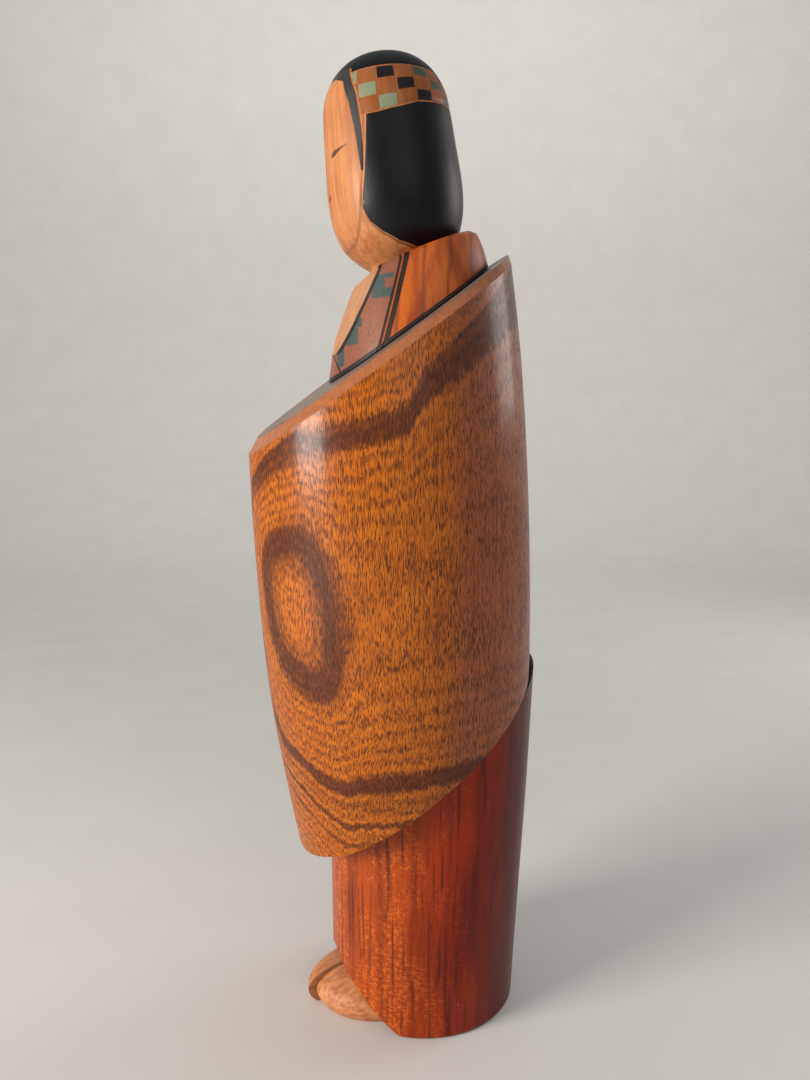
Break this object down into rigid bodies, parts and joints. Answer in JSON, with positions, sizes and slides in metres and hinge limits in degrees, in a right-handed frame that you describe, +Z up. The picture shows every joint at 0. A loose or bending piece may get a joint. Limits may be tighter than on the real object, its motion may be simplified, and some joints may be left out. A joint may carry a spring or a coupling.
{
  "type": "kokeshi doll",
  "caption": "Turned wooden doll of a standing woman in a kimono and shawl, with a head that turns on its neck.",
  "frame": {"origin": "on the skirt's flat underside, below the middle of the torso, on the surface that the doll stands on", "axes": "+Z up, -Y the way the doll faces, +X towards her left"},
  "size_m": [0.0868, 0.0916, 0.2953],
  "materials": {
    "head_wood": "clear satin over painted hair",
    "kimono_wood": "semi-gloss lacquer",
    "shawl_wood": "gloss lacquer",
    "skirt_wood": "red-brown stain under gloss lacquer",
    "foot_wood": "satin",
    "dowel_wood": "bare"
  },
  "bodies": {
    "figure": {"kimono_torso": "kimono_wood", "shawl": "shawl_wood", "skirt": "skirt_wood", "left_foot": "foot_wood", "right_foot": "foot_wood", "shoulder_dowel": "dowel_wood", "waist_dowel": "dowel_wood"},
    "head": {"head": "head_wood"}
  },
  "joints": [
    {"name": "head_turn", "type": "hinge", "parent": "figure", "child": "head", "pos_m": [0, -0.0045, 0.232], "axis": [0, -0.1219, 0.9925], "continuous": true}
  ]
}
